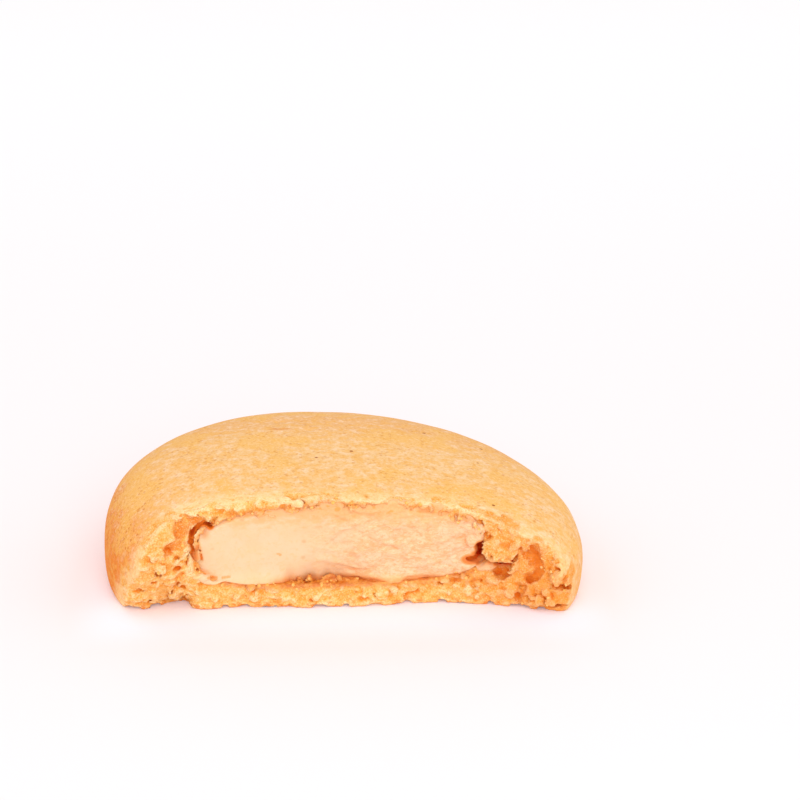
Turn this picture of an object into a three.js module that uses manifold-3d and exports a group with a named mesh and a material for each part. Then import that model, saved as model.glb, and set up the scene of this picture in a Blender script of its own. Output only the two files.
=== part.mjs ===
// A filled pumpkin cookie, broken open across its front, so that the slab of cheesecake filling
// shows between the domed top and the base. Millimetres, +Z up, +X along the broken face to the
// right of someone looking at it, +Y away from them. The origin is under the middle of the piece.
//
// The cookie is one baked dough shell with a pocket in it, and the filling is the slab in the
// pocket. The whole cookie is worked out round its own upright axis first, then the front is
// broken away, and last both solids are moved so that the origin is the middle of the base.

import * as THREE from 'three';
import { mergeVertices } from 'three/addons/utils/BufferGeometryUtils.js';
import Module from 'manifold-3d';

// The whole cookie.
const COOKIE_RADIUS = 36;
const COOKIE_HEIGHT = 19.8;
const BULGE_HEIGHT = 4.8; // the side is widest here
const BASE_RADIUS = 35;
const APEX_X = -11; // the dome is fuller on the left than on the right
const APEX_Y = 3;
const DOME_POWER_LEFT = 2.65;
const DOME_POWER_RIGHT = 2.25;
const SPREAD_ANGLE = -0.42; // where the right front corner was pushed out when it broke
const SPREAD_WIDTH = 0.3;
const SPREAD_SIZE = 0.045;
const OVAL_SIZE = 0.012;

// The broken face.
const BREAK_DISTANCE = 13.6; // in front of the cookie's axis
const BREAK_LEAN = 3.4; // the top stands this much further forward than the base
const LEFT_LIP = 3.4; // how far the left end of the crust stands forward
const LEFT_LIP_X = -30;
const RIGHT_LIP = 1.9;
const RIGHT_LIP_X = 33;
const RIGHT_LIP_HEIGHT = 3.5;
const LIP_WIDTH = 8;
const LEFT_LIP_HEIGHT = 8.5;
const LIP_TALLNESS = 8.5;
const HOLLOW_X = 16; // the base is torn a little further back here than elsewhere
const HOLLOW_DEPTH = 1.3;
const HOLLOW_WIDTH = 10;
const FOOT_X = -36; // and at the foot of the left end
const FOOT_DEPTH = 1.6;
const FOOT_WIDTH = 5;
const CRACK_X = 29; // the crack between the right wall and its loose end
const CRACK_DEPTH = 2.4;
const CRACK_WIDTH = 1.5;
const CRACK_HEIGHT = 6;
const NICK_X = -24.2; // where crumb fell out under the left wall
const NICK_DEPTH = 2.4;
const NICK_WIDTH = 1.8;
const CRUMB_RELIEF = 0.5;
const FACE_STEP = 1.4;

// The pocket and the filling in it.
const POCKET_RADIUS = 25.8;
const POCKET_X = -1.4;
const POCKET_FLOOR = 3.5;
const POCKET_ROOF = 16.4;
const POCKET_POWER = 3.4;
const POCKET_GAP = 0.35;
const FILLING_SETBACK = 2.3; // behind the torn edge of the base
const FILLING_RELIEF = 0.25;

// Small holes where the filling pulled away from the right wall, each this far behind the face.
const HOLES = [
  { x: 20.8, behind: 1.6, z: 8.6, radii: [1.1, 2.4, 1.5] },
  { x: 23.7, behind: 1.2, z: 5.8, radii: [1.6, 2.6, 1.4] },
];

// How finely the solids are faceted.
const ROUND_STEPS = 88;
const SIDE_RINGS = 3;
const DOME_RINGS = 11;
const POCKET_STEPS = 60;
const POCKET_RINGS = 7;
const HOLE_STEPS = 10;

const wasm = await Module();
wasm.setup();

// A bell-shaped bump of height 1 and the given half width.
function bump(distance, width) {
  return Math.exp(-((distance / width) ** 2));
}

// A repeatable number between -1 and 1 for each pair of whole numbers.
function scatter(column, row) {
  const wave = Math.sin(column * 127.1 + row * 311.7) * 43758.5453;
  return 2 * (wave - Math.floor(wave)) - 1;
}

// A closed mesh from a function that gives a point for each ring and step, with a point at
// each end. The rings run from the bottom up, and the steps run anticlockwise seen from above.
function ringedGeometry(rings, steps, pointAt, bottom, top) {
  const positions = [...bottom];
  for (let ring = 0; ring < rings; ring += 1) {
    for (let step = 0; step < steps; step += 1) {
      positions.push(...pointAt(ring, (2 * Math.PI * step) / steps));
    }
  }
  positions.push(...top);
  const topIndex = 1 + rings * steps;
  const at = (ring, step) => 1 + ring * steps + (step % steps);
  const indices = [];
  for (let step = 0; step < steps; step += 1) {
    indices.push(0, at(0, step + 1), at(0, step));
    indices.push(topIndex, at(rings - 1, step), at(rings - 1, step + 1));
    for (let ring = 0; ring + 1 < rings; ring += 1) {
      indices.push(at(ring, step), at(ring, step + 1), at(ring + 1, step + 1));
      indices.push(at(ring, step), at(ring + 1, step + 1), at(ring + 1, step));
    }
  }
  const geometry = new THREE.BufferGeometry();
  geometry.setAttribute('position', new THREE.Float32BufferAttribute(positions, 3));
  geometry.setIndex(indices);
  return geometry;
}

// The plan of the cookie at its widest, as a radius for each direction from its axis.
function planRadius(angle) {
  const turn = Math.atan2(Math.sin(angle - SPREAD_ANGLE), Math.cos(angle - SPREAD_ANGLE));
  const spread = SPREAD_SIZE * bump(turn, SPREAD_WIDTH);
  const oval = OVAL_SIZE * Math.cos(2 * angle + 1);
  return COOKIE_RADIUS * (1 + spread + oval);
}

// The whole cookie: a flat base, a side that swells to the bulge, and a full dome above it.
function cookieGeometry() {
  const baseShare = BASE_RADIUS / COOKIE_RADIUS;
  const pointAt = (ring, angle) => {
    const rimX = planRadius(angle) * Math.cos(angle);
    const rimY = planRadius(angle) * Math.sin(angle);
    if (ring <= SIDE_RINGS) {
      const drop = 1 - ring / SIDE_RINGS;
      const share = baseShare + (1 - baseShare) * Math.sqrt(1 - drop * drop);
      return [rimX * share, rimY * share, BULGE_HEIGHT * (1 - drop)];
    }
    const lean = (1 - Math.cos(angle)) / 2;
    const power = DOME_POWER_RIGHT + (DOME_POWER_LEFT - DOME_POWER_RIGHT) * lean;
    const climb = ((ring - SIDE_RINGS) / (DOME_RINGS + 1)) * (Math.PI / 2);
    const share = Math.cos(climb) ** (2 / power);
    const rise = Math.sin(climb) ** (2 / power);
    return [
      APEX_X + (rimX - APEX_X) * share,
      APEX_Y + (rimY - APEX_Y) * share,
      BULGE_HEIGHT + (COOKIE_HEIGHT - BULGE_HEIGHT) * rise,
    ];
  };
  const rings = SIDE_RINGS + 1 + DOME_RINGS;
  return ringedGeometry(rings, ROUND_STEPS, pointAt, [0, 0, 0], [APEX_X, APEX_Y, COOKIE_HEIGHT]);
}

// How far back the dough is broken, at a place across the face and a height above the base.
function breakDepth(x, z) {
  const lean = -BREAK_LEAN * (z / COOKIE_HEIGHT);
  const leftLip = LEFT_LIP * bump(x - LEFT_LIP_X, LIP_WIDTH) * bump(z - LEFT_LIP_HEIGHT, LIP_TALLNESS);
  const rightLip = RIGHT_LIP * bump(x - RIGHT_LIP_X, LIP_WIDTH) * bump(z - RIGHT_LIP_HEIGHT, LIP_TALLNESS);
  const crack = CRACK_DEPTH * bump(x - CRACK_X, CRACK_WIDTH) * bump(z - CRACK_HEIGHT, CRACK_HEIGHT);
  const nick = NICK_DEPTH * bump(x - NICK_X, NICK_WIDTH) * bump(z, NICK_WIDTH);
  const hollow = HOLLOW_DEPTH * bump(x - HOLLOW_X, HOLLOW_WIDTH);
  const foot = FOOT_DEPTH * bump(x - FOOT_X, FOOT_WIDTH) * bump(z, FOOT_WIDTH);
  return -BREAK_DISTANCE + lean - leftLip - rightLip + crack + nick + hollow + foot;
}

// A block that stands in front of a broken face, with that face as its back.
function frontBlockGeometry(depthAt, relief) {
  const halfWidth = COOKIE_RADIUS + 6;
  const bottom = -FACE_STEP;
  const front = -2 * COOKIE_RADIUS;
  const columns = Math.round((2 * halfWidth) / FACE_STEP);
  const rows = Math.ceil((COOKIE_HEIGHT + 2 * FACE_STEP) / FACE_STEP) + 1;
  const positions = [];
  for (const isBack of [true, false]) {
    for (let row = 0; row <= rows; row += 1) {
      for (let column = 0; column <= columns; column += 1) {
        const x = -halfWidth + column * FACE_STEP;
        const z = bottom + row * FACE_STEP;
        const crumb = relief * scatter(column, row);
        positions.push(x, isBack ? depthAt(x, z) + crumb : front, z);
      }
    }
  }
  const layer = (rows + 1) * (columns + 1);
  const back = (column, row) => row * (columns + 1) + column;
  const indices = [];
  const quad = (a, b, c, d) => indices.push(a, b, c, a, c, d);
  for (let row = 0; row < rows; row += 1) {
    for (let column = 0; column < columns; column += 1) {
      const a = back(column, row);
      const b = back(column + 1, row);
      const c = back(column + 1, row + 1);
      const d = back(column, row + 1);
      quad(a, d, c, b);
      quad(layer + a, layer + b, layer + c, layer + d);
    }
    quad(back(0, row), layer + back(0, row), layer + back(0, row + 1), back(0, row + 1));
    const end = columns;
    quad(back(end, row), back(end, row + 1), layer + back(end, row + 1), layer + back(end, row));
  }
  for (let column = 0; column < columns; column += 1) {
    const next = column + 1;
    quad(back(column, 0), back(next, 0), layer + back(next, 0), layer + back(column, 0));
    quad(
      back(column, rows),
      layer + back(column, rows),
      layer + back(next, rows),
      back(next, rows),
    );
  }
  const geometry = new THREE.BufferGeometry();
  geometry.setAttribute('position', new THREE.Float32BufferAttribute(positions, 3));
  geometry.setIndex(indices);
  return geometry;
}

// The pocket, or the filling when it is drawn in by a gap: a round slab with soft edges.
function slabGeometry(inset) {
  const radius = POCKET_RADIUS - inset;
  const middle = (POCKET_FLOOR + POCKET_ROOF) / 2;
  const half = (POCKET_ROOF - POCKET_FLOOR) / 2 - inset;
  const rings = 2 * POCKET_RINGS + 1;
  const pointAt = (ring, angle) => {
    const climb = ((ring - POCKET_RINGS) / (POCKET_RINGS + 1)) * (Math.PI / 2);
    const reach = radius * Math.cos(climb) ** (2 / POCKET_POWER);
    const rise = half * Math.abs(Math.sin(climb)) ** (2 / POCKET_POWER) * Math.sign(climb);
    return [POCKET_X + reach * Math.cos(angle), reach * Math.sin(angle), middle + rise];
  };
  const bottom = [POCKET_X, 0, middle - half];
  const top = [POCKET_X, 0, middle + half];
  return ringedGeometry(rings, POCKET_STEPS, pointAt, bottom, top);
}

function holeGeometry(hole) {
  const geometry = new THREE.SphereGeometry(1, HOLE_STEPS, HOLE_STEPS - 2);
  geometry.deleteAttribute('normal');
  geometry.deleteAttribute('uv');
  geometry.scale(...hole.radii);
  geometry.translate(hole.x, breakDepth(hole.x, hole.z) + hole.behind, hole.z);
  return mergeVertices(geometry);
}

function solidFrom(geometry) {
  const mesh = new wasm.Mesh({
    numProp: 3,
    vertProperties: new Float32Array(geometry.attributes.position.array),
    triVerts: new Uint32Array(geometry.index.array),
  });
  return new wasm.Manifold(mesh);
}

function geometryFrom(solid) {
  const { vertProperties, triVerts } = solid.getMesh();
  const geometry = new THREE.BufferGeometry();
  geometry.setAttribute('position', new THREE.BufferAttribute(vertProperties, 3));
  geometry.setIndex(new THREE.BufferAttribute(triVerts, 1));
  geometry.computeVertexNormals();
  return geometry;
}

function doughGeometry() {
  let dough = solidFrom(cookieGeometry());
  dough = dough.subtract(solidFrom(frontBlockGeometry(breakDepth, CRUMB_RELIEF)));
  dough = dough.subtract(solidFrom(slabGeometry(0)));
  for (const hole of HOLES) {
    dough = dough.subtract(solidFrom(holeGeometry(hole)));
  }
  return geometryFrom(dough);
}

// The filling broke a little behind the dough, and stands plainer.
function fillingGeometry() {
  const fillingLean = BREAK_LEAN / 2;
  const depthAt = (x, z) => FILLING_SETBACK - BREAK_DISTANCE - fillingLean * (z / COOKIE_HEIGHT);
  let filling = solidFrom(slabGeometry(POCKET_GAP));
  filling = filling.subtract(solidFrom(frontBlockGeometry(depthAt, FILLING_RELIEF)));
  for (const hole of HOLES) {
    filling = filling.subtract(solidFrom(holeGeometry(hole)));
  }
  return geometryFrom(filling);
}

function pieceMesh(name, geometry, color, roughness) {
  const material = new THREE.MeshStandardMaterial({ color, roughness, metalness: 0 });
  const mesh = new THREE.Mesh(geometry, material);
  mesh.name = name;
  return mesh;
}

const dough = pieceMesh('cookie_dough', doughGeometry(), 0xf3b976, 0.85);
const filling = pieceMesh('cheesecake_filling', fillingGeometry(), 0xfcd8a8, 0.6);

// The origin moves to the middle of the dough's base.
dough.geometry.computeBoundingBox();
const doughBox = dough.geometry.boundingBox;
const middle = doughBox.getCenter(new THREE.Vector3());
for (const mesh of [dough, filling]) {
  mesh.position.set(-middle.x, -middle.y, -doughBox.min.z);
}

const group = new THREE.Group();
group.add(dough, filling);

export default group;
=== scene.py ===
"""A filled pumpkin cookie, broken open across its front, on a white table.

The baked dough and the cheese filling are each shaped as one solid lump: a field of numbers on a
fine block of places, below zero inside the food. The crumb of the broken face is bitten out of
that field and built up on it grain by grain, and the mesh is the skin where the field is zero.
Shaping is in millimetres from the cookie's own upright axis; meshes are in metres.
"""

import math

import bpy
import numpy as np
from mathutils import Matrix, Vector


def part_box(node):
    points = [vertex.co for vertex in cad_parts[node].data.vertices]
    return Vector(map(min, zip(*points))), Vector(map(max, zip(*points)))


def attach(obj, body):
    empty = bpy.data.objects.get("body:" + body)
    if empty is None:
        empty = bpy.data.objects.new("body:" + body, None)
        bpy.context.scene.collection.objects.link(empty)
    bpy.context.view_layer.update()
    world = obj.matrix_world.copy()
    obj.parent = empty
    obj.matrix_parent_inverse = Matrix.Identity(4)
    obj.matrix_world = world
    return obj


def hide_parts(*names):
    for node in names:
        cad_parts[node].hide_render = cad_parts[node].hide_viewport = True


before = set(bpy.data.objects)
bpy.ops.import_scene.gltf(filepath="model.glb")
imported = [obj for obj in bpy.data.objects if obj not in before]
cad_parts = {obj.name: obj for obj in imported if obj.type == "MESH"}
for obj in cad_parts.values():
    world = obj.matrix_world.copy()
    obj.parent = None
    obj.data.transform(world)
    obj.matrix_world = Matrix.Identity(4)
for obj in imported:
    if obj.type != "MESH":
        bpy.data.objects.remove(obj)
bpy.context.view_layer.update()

MM = 0.001
dough_low, dough_high = (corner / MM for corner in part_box("cookie_dough"))
filling_low, filling_high = (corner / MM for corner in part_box("cheesecake_filling"))

# The whole cookie, from the box of its dough.
HEIGHT = dough_high.z
RADIUS = 0.988 * (dough_high.x - dough_low.x) / 2
AXIS_X = dough_low.x + 1.0063 * RADIUS
AXIS_Y = dough_high.y - 0.9936 * RADIUS
BULGE = 0.242 * HEIGHT
BASE_SHARE = 0.972
APEX = (-0.306 * RADIUS, 0.083 * RADIUS)
POWER_LEFT = 2.65
POWER_RIGHT = 2.25
SPREAD_ANGLE = -0.42
SPREAD_WIDTH = 0.3
SPREAD_SIZE = 0.045
OVAL_SIZE = 0.012

# The broken face, as a distance in front of the axis.
BREAK = 0.378 * RADIUS
LEAN = 3.4

# The pocket, from the box of the filling and the gap round it.
GAP = 0.35
POCKET_X = (filling_low.x + filling_high.x) / 2 - AXIS_X
POCKET_RADIUS = (filling_high.x - filling_low.x) / 2 + GAP
POCKET_FLOOR = filling_low.z - GAP
POCKET_ROOF = filling_high.z + GAP
POCKET_POWER = 3.4
ROOF_FLARE = 1.5
SETBACK = 2.3
FILLING_LEAN = 5.3

# Steps of the blocks of places, fine near the broken face and coarse behind it.
FINE = 0.2
COARSE = 0.7

# Steps along the paths of cracks, the size of the repeating tables of random numbers, and how the
# chunks of crumb are drawn out across, back and up.
PATH_STEP = 0.3
CHUNK_TABLE = 32
RUFFLE_TABLE = 64
CHUNK_SHAPE = (1.4, 1.0, 0.85)

# Crumbs stuck to the broken face and pits in it, and how near the skin a place has to be for one.
FACE_CRUMBS = 190
FACE_PITS = 90
SKIN_DEPTH = 0.2
DOUGH_SEED = 11
GRAIN_SEED = 13

# The most triangles that each piece may have.
DOUGH_TRIANGLES = 190_000
FILLING_TRIANGLES = 120_000


def bump(distance, width):
    """A bell of height 1 with the given half width."""
    return np.exp(-((distance / width) ** 2))


def smooth(value, low, high):
    """0 below low, 1 above high, and a soft S between."""
    share = np.clip((value - low) / (high - low), 0.0, 1.0)
    return share * share * (3 - 2 * share)


def soft_most(a, b, blend):
    """The larger of two fields, with the corner between them rounded off."""
    share = np.clip(0.5 + 0.5 * (a - b) / blend, 0, 1)
    return b + (a - b) * share + blend * share * (1 - share)


def even_places(low, high, step):
    return np.arange(low, high + step, step, dtype=np.float32)


def graded_places(low, fine_end, high):
    """Even fine steps as far as fine_end, then steps that grow to the coarse one."""
    places = list(even_places(low, fine_end, FINE))
    step = FINE
    while places[-1] < high:
        step = min(step * 1.09, COARSE)
        places.append(places[-1] + step)
    return np.array(places, np.float32)


class Block:
    """A block of places with a field of numbers on it, below zero inside the food."""

    def __init__(self, across, back, up):
        self.axes = (across, back, up)
        self.x = across[:, None, None]
        self.y = back[None, :, None]
        self.z = up[None, None, :]
        self.field = None
        self.wobble = [
            0.28 * self.waves(1.2, 90 + axis) + 0.18 * self.waves(0.5, 95 + axis)
            for axis in range(3)
        ]

    def waves(self, size, seed):
        """A smooth random field, about -1 to 1, with lumps of the given size."""
        sizes = size if isinstance(size, tuple) else (size, size, size)
        rng = np.random.default_rng(seed)
        counts = [int((a[-1] - a[0]) / s) + 6 for a, s in zip(self.axes, sizes)]
        field = rng.uniform(-1, 1, counts).astype(np.float32)
        for axis in range(3):
            places = self.axes[axis]
            at = (places - places[0]) / sizes[axis] + rng.random()
            cell = np.floor(at).astype(int)
            weights = spline_weights((at - cell).astype(np.float32))
            field = np.moveaxis(field, axis, 0)
            field = sum(w[:, None, None] * field[cell + k] for k, w in enumerate(weights))
            field = np.moveaxis(field, 0, axis)
        return 2.4 * field

    def chunks(self, where, size, seed):
        """Chunks of about a size: each one's own number, 0 to 1, and nearness to a crack."""
        index = np.nonzero(where)
        spots = [axis[i] + wave[where] for axis, i, wave in zip(self.axes, index, self.wobble)]
        spots = np.stack(spots, 1) / (size * np.array(CHUNK_SHAPE))
        home = np.floor(spots).astype(int)
        lattice = np.random.default_rng(seed).random((CHUNK_TABLE,) * 3 + (4,), np.float32)
        near = np.full(len(spots), 9.0, np.float32)
        next_near = near.copy()
        own = np.zeros_like(near)
        next_own = own.copy()
        for offset in NEIGHBOURS:
            cell = home + offset
            seeds = lattice[tuple((cell % CHUNK_TABLE).T)]
            far = np.sqrt(((cell + seeds[:, :3] - spots) ** 2).sum(1))
            number = seeds[:, 3]
            first = far < near
            second = ~first & (far < next_near)
            next_near = np.where(first, near, np.where(second, far, next_near))
            next_own = np.where(first, own, np.where(second, number, next_own))
            near = np.where(first, far, near)
            own = np.where(first, number, own)
        margin = (next_near - near) * size
        share = 0.5 * (1 - smooth(margin, 0.0, 0.25))
        return own + (next_own - own) * share, bump(margin, 0.12)

    def near(self, centre, reach):
        """The part of the block within reach of a point: its slices and its places."""
        cut = []
        for axis, middle in zip(self.axes, centre):
            low, high = np.searchsorted(axis, (middle - reach, middle + reach))
            cut.append(slice(low, high))
        cut = tuple(cut)
        return cut, self.x[cut[0]], self.y[:, cut[1]], self.z[:, :, cut[2]]

    def grain(self, centre, radii, turn):
        """How far each place near a turned egg is outside it."""
        cut, x, y, z = self.near(centre, max(radii) + 5 * FINE)
        offset = [
            place - middle + wave[cut]
            for place, middle, wave in zip((x, y, z), centre, self.wobble)
        ]
        total = 0
        for row, radius in zip(turn, radii):
            along = row[0] * offset[0] + row[1] * offset[1] + row[2] * offset[2]
            total = total + (along / radius) ** 2
        return cut, (np.sqrt(total) - 1) * min(radii)

    def scoop(self, centre, radii, turn=np.eye(3)):
        """Takes an egg-shaped bite out of the food."""
        cut, egg = self.grain(centre, radii, turn)
        self.field[cut] = np.maximum(self.field[cut], -egg)

    def build_up(self, centre, radii, turn=np.eye(3)):
        """Adds an egg-shaped lump to the food."""
        cut, egg = self.grain(centre, radii, turn)
        self.field[cut] = soft_least(self.field[cut], egg, 0.2)

    def sample(self, field, points):
        """The field's value at any points, from the eight places round each."""
        cells, shares = [], []
        for axis, along in zip(self.axes, points.T):
            cell = np.clip(np.searchsorted(axis, along) - 1, 0, len(axis) - 2)
            cells.append(cell)
            shares.append((along - axis[cell]) / (axis[cell + 1] - axis[cell]))
        total = 0
        for corner in CORNERS:
            weight = 1
            for share, far in zip(shares, corner):
                weight = weight * (share if far else 1 - share)
            at = tuple(cell + far for cell, far in zip(cells, corner))
            total = total + weight * field[at]
        return total


CORNERS = [(i, j, k) for i in (0, 1) for j in (0, 1) for k in (0, 1)]
NEIGHBOURS = [(i, j, k) for i in (-1, 0, 1) for j in (-1, 0, 1) for k in (-1, 0, 1)]


def spline_weights(share):
    """How much the four lattice points round a place count, by its share of the way along."""
    rest = 1 - share
    return (
        rest**3 / 6,
        (3 * share**3 - 6 * share**2 + 4) / 6,
        (3 * rest**3 - 6 * rest**2 + 4) / 6,
        share**3 / 6,
    )


def soft_least(a, b, blend):
    return -soft_most(-a, -b, blend)


def random_turn(rng):
    """Three square directions, turned at random."""
    turn, _ = np.linalg.qr(rng.normal(size=(3, 3)))
    return turn


def skin_of(block):
    """Points and four-sided faces of the surface where the block's field is zero."""
    field = block.field
    inside = field < 0
    some = np.zeros([n - 1 for n in field.shape], bool)
    every = np.ones_like(some)
    for corner in CORNERS:
        part = inside[tuple(slice(c, n - 1 + c) for c, n in zip(corner, field.shape))]
        some |= part
        every &= part
    crossed = some & ~every
    cells = np.argwhere(crossed)
    number = np.full(crossed.shape, -1, np.int32)
    number[crossed] = np.arange(len(cells), dtype=np.int32)
    total = np.zeros((len(cells), 3))
    count = np.zeros(len(cells))
    for start in CORNERS:
        for axis in range(3):
            if start[axis]:
                continue
            low = cells + start
            high = low.copy()
            high[:, axis] += 1
            value_low = field[tuple(low.T)]
            value_high = field[tuple(high.T)]
            cross = (value_low < 0) != (value_high < 0)
            share = value_low[cross] / (value_low[cross] - value_high[cross])
            point = np.stack([a[low[cross, k]] for k, a in enumerate(block.axes)], 1).astype(float)
            step = block.axes[axis][high[cross, axis]] - block.axes[axis][low[cross, axis]]
            point[:, axis] += share * step
            total[cross] += point
            count[cross] += 1
    points = total / count[:, None]
    faces = []
    for axis in range(3):
        u, v = (axis + 1) % 3, (axis + 2) % 3
        shorter = [slice(None)] * 3
        shifted = [slice(None)] * 3
        shorter[axis] = slice(0, -1)
        shifted[axis] = slice(1, None)
        change = np.argwhere(inside[tuple(shorter)] != inside[tuple(shifted)])
        ring = []
        for du, dv in ((0, 0), (-1, 0), (-1, -1), (0, -1)):
            cell = change.copy()
            cell[:, u] += du
            cell[:, v] += dv
            ring.append(number[tuple(cell.T)])
        quads = np.stack(ring, 1)
        inward = ~inside[tuple(change.T)]
        quads[inward] = quads[inward][:, ::-1]
        faces.append(quads)
    return largest_part(points, np.concatenate(faces))


def largest_part(points, quads):
    """Only the biggest joined part, without loose specks or sealed bubbles."""
    label = np.arange(len(points))
    while True:
        lowest = label[quads].min(1)
        fresh = label.copy()
        np.minimum.at(fresh, quads.ravel(), np.repeat(lowest, 4))
        fresh = fresh[fresh]
        if np.array_equal(fresh, label):
            break
        label = fresh
    main = np.bincount(label).argmax()
    keep = label == main
    renumber = np.cumsum(keep) - 1
    return points[keep], renumber[quads[keep[quads[:, 0]]]]


def plan_radius(angle):
    turn = np.arctan2(np.sin(angle - SPREAD_ANGLE), np.cos(angle - SPREAD_ANGLE))
    spread = SPREAD_SIZE * bump(turn, SPREAD_WIDTH)
    return RADIUS * (1 + spread + OVAL_SIZE * np.cos(2 * angle + 1))


def dome_reach(x, y):
    """How far out from the apex to the rim each place of the plan is, and the dome's fullness."""
    aside = x - APEX[0]
    behind = y - APEX[1]
    length = np.maximum(aside**2 + behind**2, 1e-6)
    along = APEX[0] * aside + APEX[1] * behind
    rim = np.full(length.shape, RADIUS)
    for _ in range(4):
        spare = rim**2 - APEX[0] ** 2 - APEX[1] ** 2
        stretch = (-along + np.sqrt(along**2 + length * spare)) / length
        angle = np.arctan2(APEX[1] + stretch * behind, APEX[0] + stretch * aside)
        rim = plan_radius(angle)
    fullness = POWER_RIGHT + (POWER_LEFT - POWER_RIGHT) * (1 - np.cos(angle)) / 2
    return 1 / stretch, fullness


def cookie_outside(block):
    """Distance outside the unbroken cookie's bulging side and dome, and with its flat base."""
    x, y, z = block.x, block.y, block.z
    reach, fullness = dome_reach(x[:, :, 0], y[:, :, 0])
    reach, fullness = reach[:, :, None], fullness[:, :, None]
    rise = np.clip((z - BULGE) / (HEIGHT - BULGE), 0, None)
    dome = reach**fullness + rise**fullness - 1
    drop = 1 - np.clip(z / BULGE, 0, 1)
    share = BASE_SHARE + (1 - BASE_SHARE) * np.sqrt(1 - drop**2)
    rim = plan_radius(np.arctan2(y, x))
    side = (np.hypot(x, y) / (rim * share)) ** fullness - 1
    shape = np.where(z > BULGE, dome, side).astype(np.float32)
    slopes = np.gradient(shape, *block.axes)
    steepness = np.sqrt(sum(slope**2 for slope in slopes))
    outside = np.clip(shape / np.maximum(steepness, 0.02), -9, 9)
    outside += 0.16 * block.waves(9.0, 1) + 0.06 * block.waves(3.2, 2)
    for across, back, length, width, depth in TOP_DENTS:
        outside += depth * bump(x - across, length) * bump(y - back, width)
    return outside, soft_most(outside, -z - 0.5, 0.5)


# Small wrinkles baked into the back of the top: across, back, length, width and depth.
TOP_DENTS = [(-9.5, 14.5, 2.2, 0.8, 0.35), (-5.5, 10.0, 1.4, 0.7, 0.3)]


def break_depth(x, z):
    """Where the dough is broken, behind the axis, by place across the face and height."""
    lean = -LEAN * z / HEIGHT
    left_lip = -4.4 * bump(x + 31, 7.5) * bump(z - 9.5, 6.5)
    right_lip = -3.0 * bump(x - 33, 5.5) * bump(z - 3.5, 9.0)
    right_lip = right_lip - 1.7 * bump(x - 25.5, 5.5) * bump(z - 13, 4.5)
    hollow = 1.5 * bump(x - 16, 10)
    foot = 1.6 * bump(x + 36, 5) * bump(z, 5)
    step = 1.7 * smooth(-x, 22.3, 23.2) * (1 - smooth(z, 0.8, 2.8))
    slope = 1.8 * smooth(-x, 20.5, 26.0) * (1 - smooth(z, 1.0, 6.5))
    nick = smooth(x, -31.0, -23.0) * (step + slope)
    toe = -0.5 * bump(z, 0.8)
    return -BREAK + lean + left_lip + right_lip + hollow + foot + nick + toe


def pocket_outside(block, inset):
    """Distance outside the pocket, or outside the filling when it is drawn in by an inset."""
    radius = POCKET_RADIUS - inset
    flare = ROOF_FLARE * bump(block.y + BREAK + 3, 4.5) * bump(block.x + 4, 17)
    middle = (POCKET_FLOOR + POCKET_ROOF + flare) / 2
    half = (POCKET_ROOF + flare - POCKET_FLOOR) / 2 - inset
    reach = np.hypot(block.x - POCKET_X - 0.6, block.y) / radius
    rise = np.abs(block.z - middle) / half
    power = POCKET_POWER
    shape = reach**power + rise**power - 1
    slope = np.hypot(power * reach ** (power - 1) / radius, power * rise ** (power - 1) / half)
    return (shape / np.maximum(slope, 0.05)).astype(np.float32)


def scatter_on(block, where, count, rng):
    """Random places among those that the mask marks, as points."""
    marked = np.flatnonzero(where)
    chosen = np.unravel_index(rng.choice(marked, count), where.shape)
    points = np.stack([axis[index] for axis, index in zip(block.axes, chosen)], 1)
    return points + rng.uniform(-0.5, 0.5, points.shape) * FINE


# Bites out of the broken face: place across, height, how far behind the face, and radii.
FACE_BITES = [
    (-27.1, 7.2, -0.1, (0.5, 0.9, 0.5)),
    (-24.2, 8.0, 0.0, (0.45, 0.8, 0.45)),
    (-27.7, 5.6, 0.0, (0.5, 0.5, 0.3)),
    (-24.7, 4.9, 0.0, (0.7, 0.6, 0.4)),
    (-29.6, 4.0, 0.0, (0.6, 0.6, 0.4)),
    (-28.6, 1.5, 0.0, (0.5, 0.5, 0.4)),
    (-21.8, 7.4, 0.2, (0.4, 1.0, 0.4)),
    (33.2, 4.2, 0.0, (2.2, 0.9, 0.3)),
    (32.0, 1.0, 0.0, (1.6, 0.8, 0.3)),
    (27.2, 9.2, 0.0, (0.4, 0.8, 0.5)),
]

# Where the crumb tore away in smooth, shallow hollows, given a deeper colour as painted shade.
BUBBLES = [
    (-24.3, 11.1, -0.4, (1.9, 1.2, 1.0)),
    (-23.3, 13.9, -0.4, (1.3, 1.2, 1.4)),
    (-21.6, 15.2, -0.5, (1.5, 1.2, 0.8)),
    (-23.8, 5.6, -0.8, (0.9, 1.2, 1.5)),
    (-22.0, 9.3, -0.7, (0.9, 1.1, 2.2)),
    (28.6, 8.4, -0.8, (1.4, 1.6, 2.2)),
    (27.6, 5.4, -0.8, (1.0, 1.3, 1.2)),
    (23.6, 5.7, 0.0, (1.3, 1.3, 0.85)),
    (26.9, 3.4, -0.8, (0.6, 1.0, 0.8)),
    (26.4, 1.7, -0.85, (0.5, 1.0, 0.7)),
]

# Deep holes between the filling's right end and the dough, cut out of both, as the bites are.
HOLES = [
    (20.6, 9.9, 0.9, (0.6, 3.4, 0.95)),
    (21.1, 8.6, 1.2, (0.85, 3.6, 1.1)),
    (20.4, 8.0, 1.2, (0.9, 3.0, 0.7)),
    (19.4, 7.4, 0.4, (1.2, 1.6, 0.6)),
    (24.5, 7.2, 1.4, (0.95, 3.4, 0.7)),
    (23.6, 7.0, 1.0, (0.7, 2.4, 0.4)),
]

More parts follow.
